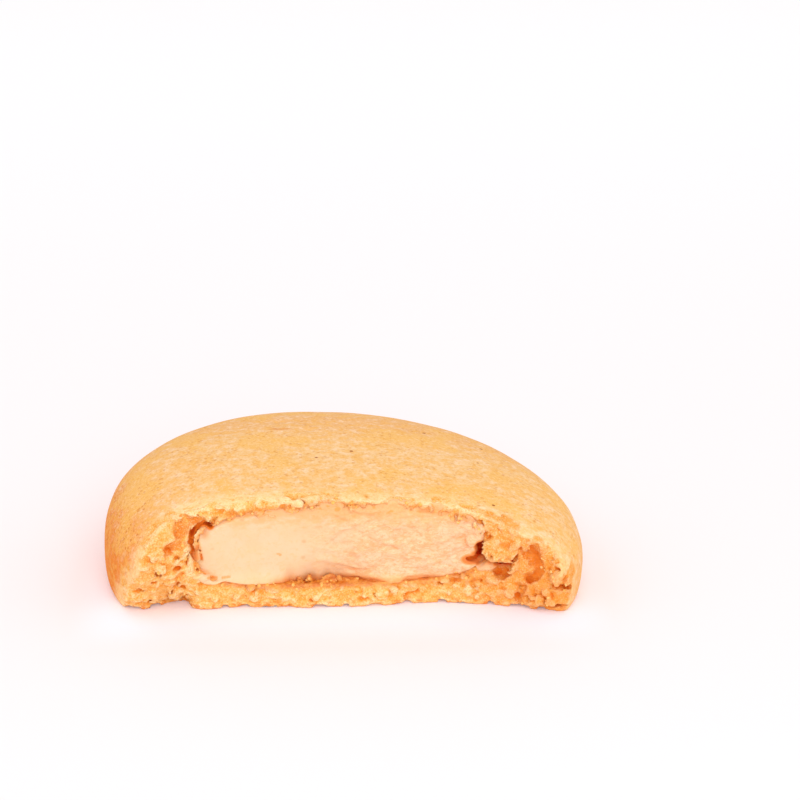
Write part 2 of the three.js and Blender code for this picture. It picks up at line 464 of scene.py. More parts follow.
# Where crumb stands proud of the face.
FACE_LUMPS = [
    (-24.5, 9.0, 0.4, (1.1, 1.2, 0.8)),
    (-27.1, 8.7, 0.4, (0.9, 1.0, 0.8)),
    (-25.0, 6.9, 0.5, (1.2, 1.1, 0.9)),
    (-30.5, 3.0, 0.6, (1.6, 1.3, 1.2)),
    (-28.0, 1.8, 0.6, (1.5, 1.3, 1.0)),
    (22.6, 10.4, 0.6, (1.6, 1.5, 1.8)),
    (24.6, 9.4, 0.6, (1.8, 1.4, 1.6)),
    (26.0, 7.2, 0.4, (0.9, 1.1, 1.5)),
    (31.8, 6.6, 0.6, (2.4, 1.4, 1.4)),
    (31.4, 2.2, 0.5, (2.2, 1.2, 1.0)),
    (34.0, 5.0, 0.6, (1.4, 1.2, 1.4)),
    (29.0, 1.4, 0.4, (1.2, 1.1, 1.4)),
]

# The crack between the right wall and its loose end, from its top down: across, height, radius.
CRACK = [
    (27.9, 10.4, 0.35), (28.9, 8.6, 0.5), (29.4, 6.8, 0.6), (28.8, 5.4, 0.5), (27.8, 4.4, 0.3),
]
CRACK_DEPTH = 0.7

# The hooked crevice round the left end of the filling, and the shallow seam beside it; both are
# coloured with painted shade.
CREVICE = [
    (-19.2, 14.3, 0.45), (-20.0, 14.6, 0.3), (-20.9, 14.3, 0.3), (-21.8, 13.4, 0.5),
    (-22.1, 12.1, 0.3), (-21.85, 10.8, 0.2), (-21.6, 9.5, 0.15), (-21.4, 8.6, 0.12),
]
CREVICE_DEPTH = 1.0
SEAM = [(-21.3, 12.4, 0.3), (-20.9, 11.0, 0.2), (-20.7, 9.4, 0.2), (-20.6, 8.3, 0.3)]
SEAM_DEPTH = 0.35

# The pale flap of crumb that stands beside the crevice.
FLAP = [
    (-22.7, 10.6, 0.35), (-22.5, 9.4, 0.5), (-22.3, 8.2, 0.6), (-22.6, 7.2, 0.7), (-22.0, 6.2, 0.8),
]

# Orange cracks in the cream: across, height, half width.
CRACKS = [
    [(-19.7, 5.75, 0.3), (-18.2, 5.4, 0.3)],
    [(-17.6, 5.45, 0.25), (-16.3, 5.45, 0.25)],
    [(-9.5, 8.9, 0.25), (-8.8, 8.55, 0.25)],
]


def along_path(path, step):
    """Places at even steps along a path of (across, height, radius)."""
    for (x0, z0, r0), (x1, z1, r1) in zip(path, path[1:]):
        count = max(1, round(math.hypot(x1 - x0, z1 - z0) / step))
        for index in range(count):
            share = index / count
            yield x0 + share * (x1 - x0), z0 + share * (z1 - z0), r0 + share * (r1 - r0)


def face_point(x, z, behind):
    return (x, float(break_depth(x, z)) + behind, z)


def scoop_from_face(block, eggs):
    for x, z, behind, radii in eggs:
        block.scoop(face_point(x, z, behind), radii)


def nearness(path, x, z, reach):
    """A bell round a path, seen from the front."""
    places = along_path(path, PATH_STEP)
    return bump(np.min([np.hypot(x - across, z - up) for across, up, _ in places], 0), reach)


def carve(block, path, depth, behind):
    """Cuts a ragged groove into the broken face along a path."""
    places = np.array(list(along_path(path, PATH_STEP)))
    low, high = places.min(0), places.max(0)
    middle = (low + high) / 2
    reach = max(high - low) / 2 + 1.5
    cut, x, y, z = block.near(face_point(middle[0], middle[1], behind), reach)
    aside = np.min([np.hypot(x - across, z - up) - radius for across, up, radius in places], 0)
    aside = aside + 0.5 * block.wobble[0][cut]
    within = np.abs(y - break_depth(x, z) - behind) - depth
    block.field[cut] = np.maximum(block.field[cut], -soft_most(aside, within, 0.3))


def near_holes(x, z):
    """1 within the holes at the filling's right end, seen from the front, and 0 away from them."""
    reach = [
        np.hypot((x - across) / (radii[0] + 0.3), (z - up) / (radii[2] + 0.3))
        for across, up, _, radii in HOLES
    ]
    return 1 - smooth(np.min(reach, 0), 0.9, 1.3)


def painted_crevice_shade(x, z, behind):
    """How dark the painted shade in the hooked crevice is, darkest at its two ends along the roof.
    """
    left_end = bump(np.hypot(x + 21.9, z - 13.2), 1.0)
    right_end = bump(np.hypot(x + 19.3, z - 14.3), 0.9)
    share = 0.5 + 0.5 * np.maximum(left_end, right_end)
    return smooth(behind, 0.1, 0.6) * nearness(CREVICE, x, z, 0.6) * share


# The chunks that the crumb breaks into: size, how far they stand out or in, depth of the cracks
# between them, how much they count in the tone, and seed.
CRUMB_SIZES = [
    (1.8, 0.24, 0.03, 0.2, 41),
    (1.0, 0.28, 0.08, 0.35, 42),
    (0.55, 0.22, 0.05, 0.45, 43),
]

# Crumb left hanging along the roof and at the right end, and fallen along the back of the floor:
# a path of (across, height, crumb size), how many crumbs, and how far behind the face.
CLINGING = [
    ([(-19.5, 15.8, 0.7), (-12, 17.1, 0.6), (-5, 17.6, 0.5)], 80, 0.4),
    ([(-5, 17.5, 0.45), (5, 16.9, 0.4), (12, 15.7, 0.45), (19.2, 13.6, 0.6)], 90, 0.4),
    ([(-17.5, 15.2, 0.4), (-12, 16.2, 0.45), (-6, 16.7, 0.4)], 30, 0.6),
    ([(19.6, 13.4, 0.6), (20.9, 12.2, 0.6), (21.4, 11.4, 0.5)], 20, 0.3),
    ([(-8, 3.6, 0.3), (-3, 3.9, 0.35), (4, 3.7, 0.3)], 90, 1.5),
    ([(9, 3.5, 0.3), (15, 3.6, 0.3)], 30, 1.6),
]


def bake_dough():
    """The dough's block, and its fields of crust, pocket, tone of chunks, and bubbles."""
    rng = np.random.default_rng(DOUGH_SEED)
    across = even_places(-1.05 * RADIUS, 1.05 * RADIUS, FINE)
    back = graded_places(-BREAK - 8.5, -BREAK + 5.5, RADIUS + 1.0)
    up = even_places(-3 * FINE, HEIGHT + 4 * FINE, FINE)
    block = Block(across, back, up)
    shell, outside = cookie_outside(block)
    relief = 0.35 * block.waves(5.5, 4) + 0.25 * block.waves(2.6, 5)
    relief += 0.4 * block.waves((3.0, 3.0, 9.0), 18) * bump(block.z, 1.6)
    relief += smooth(shell, -1.8, -0.3) * (0.9 * np.abs(block.waves(1.4, 16)) - 0.3)
    torn = break_depth(block.x, block.z) + relief - block.y
    pocket = pocket_outside(block, 0.0) - 0.12 * block.waves(1.5, 7) - 0.12 * block.waves(4.0, 8)
    block.field = soft_most(outside, torn, 0.25)

    for x, z, behind, radii in FACE_LUMPS:
        block.build_up(face_point(x, z, behind), radii, random_turn(rng))
    face = (np.abs(block.field) < SKIN_DEPTH) & (torn > -0.6) & (outside < -0.2)
    for point in scatter_on(block, face & (pocket > -0.4) & (block.z > 1.3), FACE_CRUMBS, rng):
        size = 0.5 + 0.8 * rng.beta(1.2, 2.6)
        radii = size * rng.uniform(0.7, 1.3, 3)
        block.build_up(point + (0, 0.6 * size, 0), radii, random_turn(rng))
    block.field = soft_most(block.field, outside - 0.04, 0.12)
    block.field = soft_most(block.field, -pocket, 0.25)

    for path, count, behind in CLINGING:
        places = list(along_path(path, 0.5))
        for index in rng.integers(0, len(places), count):
            x, z, size = places[index]
            size = size * rng.uniform(0.35, 1.15)
            x, z = x + rng.normal(0, 0.3), z + rng.normal(0, 0.35)
            radii = size * rng.uniform(0.5, 1.8, 3)
            block.build_up(face_point(x, z, behind + rng.normal(0, 0.3)), radii, random_turn(rng))

    bubble = np.zeros(block.field.shape, np.float32)
    ragged = 0.3 * block.waves(1.0, 19)
    for x, z, behind, radii in BUBBLES:
        cut, egg = block.grain(face_point(x, z, behind), radii, np.eye(3))
        egg = egg + ragged[cut]
        block.field[cut] = np.maximum(block.field[cut], -egg)
        bubble[cut] = np.maximum(bubble[cut], 1 - smooth(egg, 0.0, 0.5))
    scoop_from_face(block, FACE_BITES)
    for x, z, radius in along_path(FLAP, 0.4):
        block.build_up(face_point(x, z, 0.4), (radius, 0.8, radius))
    carve(block, CRACK, CRACK_DEPTH, behind=0.0)
    carve(block, CREVICE, CREVICE_DEPTH, behind=0.0)
    face = (np.abs(block.field) < SKIN_DEPTH) & (torn > -2.0) & (outside < -0.25) & (pocket > 0.2)
    for point in scatter_on(block, face, FACE_PITS, rng):
        size = 0.2 + 0.45 * rng.beta(1.1, 3.0)
        radii = np.minimum(size * rng.uniform(0.6, 1.7, 3), 0.7)
        block.scoop(point - (0, 0.3 * size, 0), radii, random_turn(rng))
    scoop_from_face(block, HOLES)

    tone = np.full(block.field.shape, 0.5, np.float32)
    inner = smooth(-shell, 0.0, 0.4) * (0.55 + 0.45 * smooth(pocket, -0.1, 0.6))
    edge = bump(np.clip(-torn, 0, None), 2.2) * smooth(block.z, 2, 5)
    peel = edge * smooth(block.waves((1.8, 1.4, 1.2), 15), -0.15, 0.35)
    block.field += 0.15 * peel
    loose = np.maximum(inner, 0.2 * edge + 0.5 * peel) * (1 - smooth(-torn, 3.5, 6.0))
    where = (np.abs(block.field) < 0.9) & (loose > 0.02)
    rough = 0.5 + 0.5 * smooth(block.waves(3.6, 14)[where], -0.5, 0.4)
    rough = rough * (1 - 0.4 * bubble[where])
    change = 0.0
    shade = 0.0
    for size, step, crack, weight, seed in CRUMB_SIZES:
        number, split = block.chunks(where, size, seed)
        change = change + step * (0.5 - number) + crack * split
        shade = shade + weight * number
    block.field[where] += loose[where] * rough * change
    tone[where] = shade
    foot = 0.5 * smooth(block.waves((0.9, 1.4, 9.0), 20), -0.05, 0.4) * bump(torn, 1.6)
    block.field = np.maximum(block.field, 0.02 + foot - block.z)
    return block, outside - 0.5 * peel, pocket, tone, bubble


def hollowness(block, reach):
    """How much food stands within reach of each place, from 0 in the open to 1 deep inside."""
    filled = np.clip(0.5 - block.field / FINE, 0, 1).astype(np.float32)
    width = 2 * reach + 1
    for axis, size in enumerate(filled.shape):
        margins = [(0, 0)] * 3
        margins[axis] = (reach + 1, reach)
        running = np.cumsum(np.pad(filled, margins, "edge"), axis, dtype=np.float32)
        late = np.take(running, range(width, width + size), axis)
        early = np.take(running, range(size), axis)
        filled = (late - early) / width
    return filled


def linked(name, data):
    """A new object in the scene that holds the given mesh, light or camera."""
    holder = bpy.data.objects.new(name, data)
    bpy.context.scene.collection.objects.link(holder)
    return holder


def smooth_mesh(name, points, faces):
    """A mesh object from millimetres round the axis, with soft shading."""
    mesh = bpy.data.meshes.new(name)
    placed = (points + (AXIS_X, AXIS_Y, 0)) * MM
    mesh.from_pydata(placed, [], faces.tolist())
    mesh.shade_smooth()
    return linked(name, mesh)


def points_of(piece):
    """The piece's points, in millimetres round the axis."""
    flat = np.empty(3 * len(piece.data.vertices), np.float32)
    piece.data.vertices.foreach_get("co", flat)
    return flat.reshape(-1, 3) / MM - (AXIS_X, AXIS_Y, 0)


def note_on_points(piece, notes):
    """Stores numbers for each point, under their names, for the finish and the crumbs to read."""
    for name, values in notes.items():
        attribute = piece.data.attributes.new(name, "FLOAT", "POINT")
        attribute.data.foreach_set("value", np.asarray(values, np.float32))


def apply_modifiers(piece):
    """Works the piece's modifiers into its mesh."""
    shaped = piece.evaluated_get(bpy.context.evaluated_depsgraph_get())
    mesh = bpy.data.meshes.new_from_object(shaped)
    piece.modifiers.clear()
    piece.data = mesh


def thin(piece, spare, target):
    """Takes faces away, down to the target in all, and first where most can be spared."""
    group = piece.vertex_groups.new(name="spare")
    weights = np.round(spare, 1)
    for level in np.unique(weights):
        group.add(np.flatnonzero(weights == level).tolist(), float(level), "REPLACE")
    triangles = sum(len(face.vertices) - 2 for face in piece.data.polygons)
    if triangles > target:
        fewer = piece.modifiers.new("fewer", "DECIMATE")
        fewer.ratio = target / triangles
        fewer.vertex_group = "spare"
        fewer.vertex_group_factor = 1e-5
        apply_modifiers(piece)
    piece.vertex_groups.clear()


def skinned(name, block, front, spare_from, spare_to, target):
    """The block's skin as a thinned piece, its points, and how far each is behind the front."""
    points, faces = skin_of(block)
    piece = smooth_mesh(name, points, faces)
    behind = points[:, 1] - front(points[:, 0], points[:, 2])
    thin(piece, 0.3 + 0.7 * smooth(behind, spare_from, spare_to), target)
    points = points_of(piece)
    return piece, points, points[:, 1] - front(points[:, 0], points[:, 2])


def make_dough():
    block, outside, pocket, tone, bubble = bake_dough()
    piece, points, behind = skinned(
        "baked_dough", block, break_depth, spare_from=1.5, spare_to=5.0, target=DOUGH_TRIANGLES)
    x, _, z = points.T
    crust = smooth(block.sample(outside, points), -0.35, -0.1)
    at_pocket = block.sample(pocket, points)
    # How hollow each place is, which the finish turns into painted shade in pits and crevices.
    wide, close = (block.sample(hollowness(block, reach), points) for reach in (5, 2))
    hollow = np.clip((0.5 * wide + 0.5 * close - 0.3) / 0.6, 0, 1)
    inside = np.maximum(0.4 + 0.6 * smooth(at_pocket, -0.7, -0.3), z < 7)
    moist = (1 - smooth(at_pocket, 0.2, 1.1)) * inside * (1 - 0.3 * smooth(z, 12.5, 14.5))
    right = smooth(x, 6.0, 12.0)
    ledge = smooth(behind + 0.9 * right, 0.2, 1.0) * bump(z - POCKET_FLOOR - 0.4 * right, 0.9)
    ledge = ledge * (x > -21) * (x < 24.5)
    flap = nearness(FLAP, x, z, 0.8) * smooth(-behind, -1.0, -0.5)
    holes = near_holes(x, z)
    crack = nearness(CRACK, x, z, 1.0) * smooth(behind, -0.4, 0.4)
    on_floor = (behind < 2.6) & (hollow < 0.6) & (z < 5) & (np.abs(x) < 18)
    torn = (crust < 0.3) & (z > 0.8) & ((behind < 1.2) & (hollow < 0.4) | on_floor)
    torn &= (holes < 0.1) & (nearness(CREVICE, x, z, 1.0) < 0.3)
    note_on_points(piece, {
        "crust": crust,
        "moist": np.maximum(moist, ledge),
        "hollow": hollow,
        "behind": np.clip(behind / 10, 0, 1),
        "tone": np.maximum(block.sample(tone, points), 1.1 * flap),
        "bubble": block.sample(bubble, points) * (1 - flap),
        # Painted shade deep in the holes at the filling's right end.
        "deep": smooth(behind, 0.4, 1.4) * holes,
        # Painted shade along the crevice and the right-hand crack.
        "crevice": np.maximum(painted_crevice_shade(x, z, behind), 0.35 * crack),
        "torn": torn,
    })
    return piece


def ruffle(u, v, seed):
    """A smooth random field, about -1 to 1, at any pairs of numbers, with lumps of size 1."""
    lattice = np.random.default_rng(seed).uniform(-1, 1, (RUFFLE_TABLE, RUFFLE_TABLE))
    cell_u, cell_v = np.floor(u).astype(int), np.floor(v).astype(int)
    weights_u, weights_v = spline_weights(u - cell_u), spline_weights(v - cell_v)
    total = 0
    for a in range(4):
        for b in range(4):
            value = lattice[(cell_u + a) % RUFFLE_TABLE, (cell_v + b) % RUFFLE_TABLE]
            total = total + weights_u[a] * weights_v[b] * value
    return 2.2 * total


def torn_streaks(x, z):
    """The wavy seams where the right of the filling pulled apart: two fields, zero at a seam."""
    swing = z + 1.3 * ruffle(x / 2.6, z / 3, 21)
    long_seam = ruffle(x / 2.2, swing / 1.0, 22)
    short_seam = ruffle(x / 1.1, swing / 0.7, 23)
    return long_seam, short_seam


# How far back the filling's lower hem is drawn, by place across: it sags forward and tears back.
LOWER_HEM = [
    (-22, -0.8), (-18, -1.4), (-14, -1.9), (-11, -1.7), (-9.6, -0.3), (-5, 0.5), (-1, 0.9),
    (2, 0.5), (4.6, -0.4), (7.3, -1.6), (9.3, -0.2), (11.8, 0.5), (14, 0.1), (16.6, -1.1),
    (20, -1.4),
]


def filling_depth(x, z):
    """Where the filling is broken, behind the axis."""
    setback = SETBACK - 0.9 * smooth(-x, 4, 16)
    ends = 1.6 * smooth(x, 19.6, 21.0) * bump(z - 8.6, 2.5) - 0.9 * smooth(-x, 14, 20)
    hem = np.interp(x, *zip(*LOWER_HEM)) + 0.4 * ruffle(x / 1.1, 0.5, 26)
    under = bump(z - POCKET_FLOOR, np.where(hem > 0, 2.8, 1.7)) * hem
    broad = 0.25 * ruffle(x / 6, z / 5, 24) + 0.08 * ruffle(x / 2.2, z / 2, 25)
    long_seam, short_seam = torn_streaks(x, z)
    pulled = 0.1 * np.tanh(3.5 * long_seam) + 0.08 * np.tanh(3.5 * short_seam)
    ragged = smooth(x, -7, 1)
    return -BREAK + setback - FILLING_LEAN * z / HEIGHT + ends + under + broad + ragged * pulled


# Smears of filling on the dough round its ends: place across, height, how far behind, and radii.
FILLING_LUMPS = [
    (21.5, 6.5, 0.6, (1.7, 1.5, 0.8)),
    (19.4, 11.8, 0.4, (1.3, 0.9, 1.7)),
    (20.4, 12.4, 0.5, (0.9, 0.9, 1.3)),
    (18.8, 13.4, 0.4, (1.6, 0.9, 0.9)),
    (-21.2, 6.3, -0.1, (1.1, 0.9, 0.5)),
    (-20.4, 5.7, 0.0, (1.2, 1.0, 0.7)),
    (-19.2, 5.0, 0.2, (1.8, 1.2, 0.6)),
]


def make_filling():
    across = even_places(POCKET_X - POCKET_RADIUS - 1.4, POCKET_X + POCKET_RADIUS + 1.4, FINE)
    back = graded_places(-BREAK - 6.5, -BREAK + 6.5, POCKET_RADIUS + 0.6)
    up = even_places(POCKET_FLOOR - 0.6, POCKET_ROOF + ROOF_FLARE + 1.6, FINE)
    block = Block(across, back, up)
    spread = (0.4 + 0.6 * smooth(block.z, 12.5, 15.0)) * bump(block.y + BREAK, 5)
    slab = pocket_outside(block, 0.1) + 0.1 * block.waves(2.5, 31)
    crumbly = smooth(block.x, -6, 2) * np.abs(block.waves((1.2, 0.8, 0.6), 33))
    depth = filling_depth(block.x, block.z) + 0.04 * block.waves(0.9, 32) + 0.2 * crumbly
    flush = break_depth(block.x, block.z) + 0.35
    aloft = smooth(block.z, 11.0, 13.0) * smooth(slab, -0.4, 0.1)
    depth = depth + np.maximum(flush - depth, 0) * aloft
    block.field = soft_most(slab - spread, depth - block.y, 0.3)
    for x, z, behind, radii in FILLING_LUMPS:
        block.build_up(face_point(x, z, behind), radii)
    carve(block, CREVICE, CREVICE_DEPTH, behind=0.4)
    carve(block, SEAM, SEAM_DEPTH, behind=0.6)
    scoop_from_face(block, HOLES)
    piece, points, behind = skinned(
        "cheese_filling", block, filling_depth, spare_from=1.0, spare_to=4.0,
        target=FILLING_TRIANGLES)
    x, _, z = points.T
    long_seam, short_seam = torn_streaks(x, z)
    holes = near_holes(x, z)
    # Orange cracks in the cream, and painted shade along the crevice and seam, round the holes and
    # lumps at the right end, and under the hook at the left.
    stains_and_shade = [0.75 * nearness(crack, x, z, 0.22) for crack in CRACKS]
    stains_and_shade += [
        0.8 * nearness(CREVICE, x, z, 0.6),
        0.55 * nearness(SEAM, x, z, 0.4),
        0.3 * smooth(x, 19.8, 20.6) * smooth(-z, -7.2, -6.8),
        smooth(x, 20.0, 20.6) * bump(z - 8.4, 1.5),
        0.85 * holes,
        0.4 * bump(np.hypot(x + 19.9, z - 13.0), 1.1),
    ]
    note_on_points(piece, {
        "seam": np.maximum(bump(long_seam, 0.16), 0.7 * bump(short_seam, 0.16)) * smooth(x, -6, 3),
        "stain": np.max(stains_and_shade, 0),
        # Painted shade deep in the holes at the right end.
        "deep": smooth(behind, 0.3, 1.0) * smooth(x, 19.8, 20.4) * holes,
        "crevice": painted_crevice_shade(x, z, behind),
        # How hollow the cream is, for painted shade in its hollows.
        "hollow": smooth(block.sample(hollowness(block, 4), points), 0.52, 0.75),
    })
    return piece


class Value:
    """A number that varies over a surface. Arithmetic on it adds Math nodes."""

    def __init__(self, finish, socket):
        self.finish = finish
        self.socket = socket

    def _math(self, operation, first, second):
        return self.finish.node("ShaderNodeMath", {"operation": operation}, {0: first, 1: second})

    def __add__(self, other):
        return self._math("ADD", self, other)

    __radd__ = __add__

    def __sub__(self, other):
        return self._math("SUBTRACT", self, other)

    def __rsub__(self, other):
        return self._math("SUBTRACT", other, self)

    def __mul__(self, other):
        return self._math("MULTIPLY", self, other)

    __rmul__ = __mul__


class Finish:
    """The nodes of one material."""

    def __init__(self, name):
        self.material = bpy.data.materials.new(name)
        self.material.use_nodes = True
        self.tree = self.material.node_tree
        self.shader = self.tree.nodes["Principled BSDF"]
        self.place = self.node("ShaderNodeTexCoord", output="Object")

    def node(self, kind, settings=None, sockets=None, output=0):
        """Adds a node, sets it up, fills its sockets and gives back one of its outputs."""
        made = self.tree.nodes.new(kind)
        for key, setting in (settings or {}).items():
            if key == "stops":
                ramp = made.color_ramp
                while len(ramp.elements) < len(setting):
                    ramp.elements.new(1.0)
                for element, (position, colour) in zip(ramp.elements, setting):
                    element.position = position
                    element.color = (*colour, 1.0)
            else:
                setattr(made, key, setting)
        for key, value in (sockets or {}).items():
            self.fill(made.inputs[key], value)
        return Value(self, made.outputs[output])

    def fill(self, socket, value):
        if isinstance(value, Value):
            self.tree.links.new(value.socket, socket)
        elif isinstance(value, tuple) and socket.type == "RGBA":
            socket.default_value = (*value, 1.0)
        else:
            socket.default_value = value

    def noise(self, size, detail=2.0, rough=0.5, stretch=1.0):
        """Soft noise with lumps of a size in millimetres, drawn out sideways by a stretch."""
        sockets = {"Vector": self.place, "Scale": (1 / stretch, 1.0, 1.0)}
        place = self.node("ShaderNodeMapping", {"vector_type": "POINT"}, sockets)
        sockets = {"Vector": place, "Scale": 1 / (size * MM), "Detail": detail, "Roughness": rough}
        return self.node("ShaderNodeTexNoise", None, sockets)

    def spots(self, spacing):
        """Distance to the nearest of a scatter of points, in shares of their spacing."""
        sockets = {"Vector": self.place, "Scale": 1 / (spacing * MM), "Randomness": 1.0}
        return self.node("ShaderNodeTexVoronoi", {"feature": "F1"}, sockets, "Distance")

    def ramp(self, value, low, high):
        """0 below low, 1 above high, and a soft S between; low may be the larger."""
        sockets = {"Value": value, "From Min": low, "From Max": high}
        return self.node("ShaderNodeMapRange", {"interpolation_type": "SMOOTHSTEP"}, sockets)

    def noted(self, name):
        """A number stored on the piece's points."""
        return self.node("ShaderNodeAttribute", {"attribute_name": name}, None, "Fac")

    def blend(self, first, second, share):
        """A mix of two colours, with a share of the second."""
        settings = {"data_type": "RGBA", "blend_type": "MIX"}
        sockets = {0: share, 6: first, 7: second}
        return self.node("ShaderNodeMix", settings, sockets, 2)

    def painted(self, base, layers):
        """A base with colours laid over it in turn, each by its own share."""
        for tint, share in layers:
            tint = tint if isinstance(tint, Value) else colour(*tint)
            base = self.blend(base, tint, share)
        return base

    def along(self, axis):
        """Millimetres along X, Y or Z from the foot of the cookie's axis."""
        start = {"X": AXIS_X, "Y": AXIS_Y, "Z": 0.0}[axis]
        return self.node("ShaderNodeSeparateXYZ", None, {0: self.place}, axis) * (1 / MM) - start

    def finished(self, colour, roughness, relief=None, depth=0.0, constants=()):
        """Joins a colour, a roughness and a relief in millimetres to the shader."""
        self.fill(self.shader.inputs["Base Color"], colour)
        self.fill(self.shader.inputs["Roughness"], roughness)
        if relief is not None:
            sockets = {"Height": relief, "Distance": depth * MM, "Strength": 1.0}
            self.fill(self.shader.inputs["Normal"], self.node("ShaderNodeBump", None, sockets))
        for name, value in dict(constants).items():
            self.shader.inputs[name].default_value = value
        return self.material


def colour(red, green, blue):
    """A colour as the eye names it, 0 to 255, in the shader's own numbers."""
    shares = [channel / 255 for channel in (red, green, blue)]
    return tuple(s / 12.92 if s <= 0.04045 else ((s + 0.055) / 1.055) ** 2.4 for s in shares)


def crumb_colours(f, hollow, tone):
    """Pale where crumb stands proud and deep orange down in its pits, which is painted shade; each
    chunk has its own tone.
    """
    stops = [
        (0.08, colour(252, 217, 160)),
        (0.33, colour(248, 192, 108)),
        (0.56, colour(241, 165, 68)),
        (0.8, colour(231, 135, 36)),
        (1.0, colour(220, 110, 14)),
    ]
    share = hollow * 0.75 + f.noise(0.35, 3.0, 0.65, 1.4) * 0.6 - tone * 0.55 + 0.08
    return f.node("ShaderNodeValToRGB", {"stops": stops}, {"Fac": share})


# Painted shade for the crevice: orange, going red-brown at its ends.
def crevice_shade_colour(f):
    darkest = f.ramp(f.noted("crevice"), 0.55, 0.95)
    return f.blend(colour(226, 118, 28), colour(178, 62, 0), darkest)


def dough_finish():
    """Golden crust with a sandy grain, open crumb where it is torn, moist dough at the filling."""
    f = Finish("baked_dough")
    height, across, back = f.along("Z"), f.along("X"), f.along("Y")
    patches = f.noise(7.0, 3.0)
    mottle = f.noise(1.5, 4.0, 0.6)
    sand = f.noise(0.45, 2.0, 0.7)

    low = f.ramp(height + patches * 5.0, 13.0, 3.0)
    # The left side and its foot go browner: partly deeper baking, partly painted shade on the side
    # turned from the light.
    left = f.ramp(across, -12.0, -36.0) * (1 - f.ramp(height, 12.0, 18.0) * 0.8)
    left_foot = f.ramp(across, -16.0, -34.0) * f.ramp(height, 16.0, 5.0)
    pale = 1 - left_foot * 0.7
    # A painted shade line in a crease at the back of the top.
    aside = (across + 9.3) * 0.45
    crease_shade = (back - 10.6 + f.noise(2.0, 1.0) * 1.2) * 1.6
    crease_shade = f.ramp(aside * aside + crease_shade * crease_shade, 1.0, 0.3)
    pores = f.ramp(f.spots(0.8), 0.34, 0.14) * f.ramp(f.noise(2.2, 1.0), 0.4, 0.62)
    specks = f.ramp(f.spots(5.0), 0.07, 0.04)
    near_edge = f.ramp(f.noted("behind") + f.noise(1.4, 2.0) * 0.25, 0.5, 0.16)
    near_edge = near_edge * (1 - f.ramp(across, 20.0, 30.0) * 0.6)
    dabs = f.ramp(f.noise(0.6, 3.0, 0.5, 1.5), 0.57, 0.65) * f.ramp(near_edge, 0.5, 0.9)
    crust = f.painted(colour(238, 192, 130), [
        ((236, 154, 78), low * 0.55),
        ((231, 134, 32), left * 0.7),
        ((232, 124, 0), left_foot * 0.88),
        # painted shade darkening the top towards its back edge
        ((230, 164, 100), f.ramp(back, 2.0, 16.0) * 0.5),
        ((238, 176, 88), f.ramp(mottle, 0.46, 0.62) * 0.7),
        ((246, 208, 166), f.ramp(mottle, 0.48, 0.32) * pale * 0.7),
        ((240, 184, 98), f.ramp(patches, 0.5, 0.62) * pale * 0.7),
        ((246, 208, 168), f.ramp(sand, 0.48, 0.3) * pale * 0.5),
        ((222, 152, 70), f.ramp(sand, 0.52, 0.7) * 0.5),
        ((206, 108, 30), f.ramp(f.noise(0.3, 2.0), 0.56, 0.68) * left * 0.6),
        ((224, 150, 80), crease_shade * 0.7),
        ((214, 116, 42), pores * (0.35 + left * 0.4)),
        ((150, 62, 15), specks * 0.85),
        ((252, 222, 170), near_edge * (0.55 + f.ramp(sand, 0.6, 0.4) * 0.3)),
        ((241, 160, 66), dabs * 0.7),
    ])

    # Painted shade in the smooth hollows where the crumb tore away.
    bubble = f.noted("bubble") * f.ramp(f.noise(0.6, 4.0, 0.6), 0.36, 0.56)
    fine = f.noise(0.24, 2.0, 0.6)
    crumb = f.painted(crumb_colours(f, f.noted("hollow"), f.noted("tone")), [
        # painted shade, darker towards the right and left ends
        ((236, 142, 52), f.ramp(across, 17.0, 23.0) * 0.4),
        ((236, 146, 58), f.ramp(across, -20.0, -26.0) * 0.2),
        ((228, 134, 52), bubble * 0.8),
        ((236, 142, 54), f.ramp(fine, 0.52, 0.66) * 0.6),
        ((255, 228, 176), f.ramp(fine, 0.46, 0.34) * 0.45),
        # painted shade at the lower right
        ((238, 146, 52), f.ramp(across, 22.0, 32.0) * f.ramp(height, 12.0, 3.0) * 0.4),
    ])
    crust = f.blend(crust, crumb, f.ramp(near_edge, 0.5, 1.0) * 0.45)

    damp = f.ramp(f.noise(0.8, 4.0, 0.6, 1.6), 0.4, 0.62)
    moist = f.blend(colour(236, 152, 58), colour(212, 98, 10), damp)
    chips = f.ramp(f.noise(0.7, 3.0, 0.6, 1.8), 0.5, 0.6) * f.ramp(height, 1.3, 0.4)
    # Painted shade in the pits, paler up under the roof.
    pit = f.blend(colour(230, 120, 20), colour(245, 160, 64), f.ramp(height, 13.0, 15.5))
    inner = f.painted(crumb, [
        (moist, f.noted("moist") * 0.8),
        # partly the browned bottom, partly painted shade where the dough meets the table
        ((238, 150, 58), f.ramp(height, 0.7, 0.1) * 0.6),
        ((226, 122, 34), chips * 0.75),
        (pit, f.ramp(f.noted("hollow"), 0.45, 0.75) * 0.85),
        # painted shade deep in the holes
        ((226, 80, 6), f.noted("deep")),
        # painted shade in the crevice and crack
        (crevice_shade_colour(f), f.ramp(f.noted("crevice"), 0.05, 0.45)),
    ])
    whole = f.blend(inner, crust, f.noted("crust"))
    rough = 0.85 - f.noted("moist") * 0.25
    relief = sand * 0.6 + f.noise(1.3, 2.0) * 0.8 - pores * 0.5
    relief = relief + (1 - f.noted("crust")) * f.noise(0.3, 3.0, 0.6) * 1.6
    return f.finished(whole, rough, relief, depth=0.14, constants={"Specular IOR Level": 0.15})


